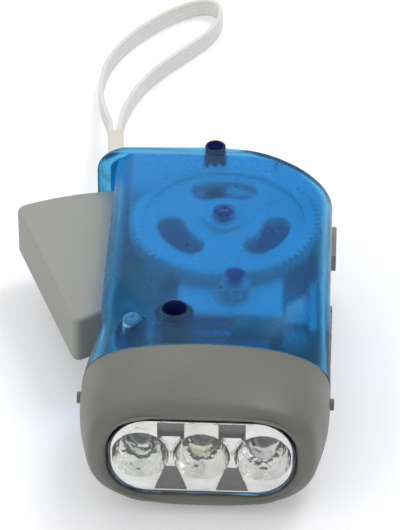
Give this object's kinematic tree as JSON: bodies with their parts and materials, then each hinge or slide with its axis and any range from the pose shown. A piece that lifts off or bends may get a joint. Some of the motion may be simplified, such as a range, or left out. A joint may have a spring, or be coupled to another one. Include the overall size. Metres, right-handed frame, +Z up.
{
  "type": "hand crank flashlight",
  "caption": "Pocket dynamo torch: see-through blue case, grey head with clear window, side squeeze lever geared to a flywheel generator, wrist strap.",
  "frame": {"origin": "underside rest face, on the case's centreline, halfway between the head's front rim and the tail", "axes": "+Y from the head towards the tail, +Z up through the thickness with the torch lying flat, -X towards the squeeze lever"},
  "size_m": [0.0742, 0.203, 0.0314],
  "materials": {
    "case_blue": "translucent blue moulded plastic, smooth outside",
    "grip_grey": "fine-textured grey moulded plastic",
    "clear_lens": "clear polished plastic",
    "bright_chrome": "vacuum-metallised bright",
    "lamp_clear": "clear epoxy lamp",
    "board_green": "green lacquered laminate",
    "gear_white": "natural acetal",
    "steel_pin": "bright drawn steel",
    "magnet_dark": "dark ferrite",
    "stator_steel": "laminated steel",
    "coil_copper": "enamelled copper winding",
    "cover_white": "white moulded plastic",
    "cell_steel": "nickel-plated can",
    "cradle_black": "black moulded plastic",
    "knob_grey": "grey moulded plastic",
    "strap_white": "woven off-white tape",
    "ferrule_cream": "off-white moulded plastic"
  },
  "bodies": {
    "case": {"upper_shell": "case_blue", "lower_shell": "case_blue", "head_bezel": "grip_grey", "head_pins": "case_blue", "lens": "clear_lens", "reflector": "bright_chrome", "led_left": "lamp_clear", "led_middle": "lamp_clear", "led_right": "lamp_clear", "led_board": "board_green", "lever_pivot_pin": "steel_pin", "lever_spring": "steel_pin", "flywheel_axle": "steel_pin", "generator_base": "cradle_black", "generator_cover": "cover_white", "stator_pole_left": "stator_steel", "stator_pole_right": "stator_steel", "coil_left": "coil_copper", "coil_right": "coil_copper", "cell_front": "cell_steel", "cell_rear": "cell_steel", "cell_cradle": "cradle_black", "cell_tab": "steel_pin", "switch_body": "cover_white", "case_screws": "steel_pin", "strap_string": "strap_white", "strap_ferrule": "ferrule_cream", "strap_band": "strap_white"},
    "lever": {"squeeze_lever": "grip_grey"},
    "drive": {"drive_pinion": "gear_white"},
    "flywheel": {"flywheel": "gear_white"},
    "rotor": {"rotor_pinion": "gear_white", "rotor_axle": "steel_pin", "rotor_magnet": "magnet_dark"},
    "switch": {"switch_knob": "knob_grey"},
    "lock": {"lock_slide": "knob_grey"}
  },
  "joints": [
    {"name": "lever_squeeze", "type": "hinge", "parent": "case", "child": "lever", "pos_m": [-0.01645, -0.01904, 0.0156], "axis": [0, 0, -1], "range_deg": [0, 19.5], "stiffness_Nm_per_rad": 0.35, "springref_deg": -20.05, "deforming": ["lever_spring"]},
    {"name": "drive_spin", "type": "hinge", "parent": "case", "child": "drive", "pos_m": [0.002, 0.022, 0.0148], "axis": [0, 0, -1], "range_deg": [-176, 0]},
    {"name": "flywheel_spin", "type": "hinge", "parent": "case", "child": "flywheel", "pos_m": [0.002, 0.022, 0.026], "axis": [0, 0, 1], "continuous": true},
    {"name": "rotor_spin", "type": "hinge", "parent": "case", "child": "rotor", "pos_m": [0.00534, -0.00207, 0.0203], "axis": [0, 0, 1], "continuous": true},
    {"name": "switch_slide", "type": "slide", "parent": "case", "child": "switch", "axis": [0, 1, 0], "range_m": [0, 0.005]},
    {"name": "lock_slide_joint", "type": "slide", "parent": "case", "child": "lock", "axis": [0, -1, 0], "range_m": [0, 0.005]}
  ],
  "couplings": [
    {"joint": "drive_spin", "follows": "lever_squeeze", "ratio": -9},
    {"joint": "rotor_spin", "follows": "flywheel_spin", "ratio": -7.1}
  ]
}
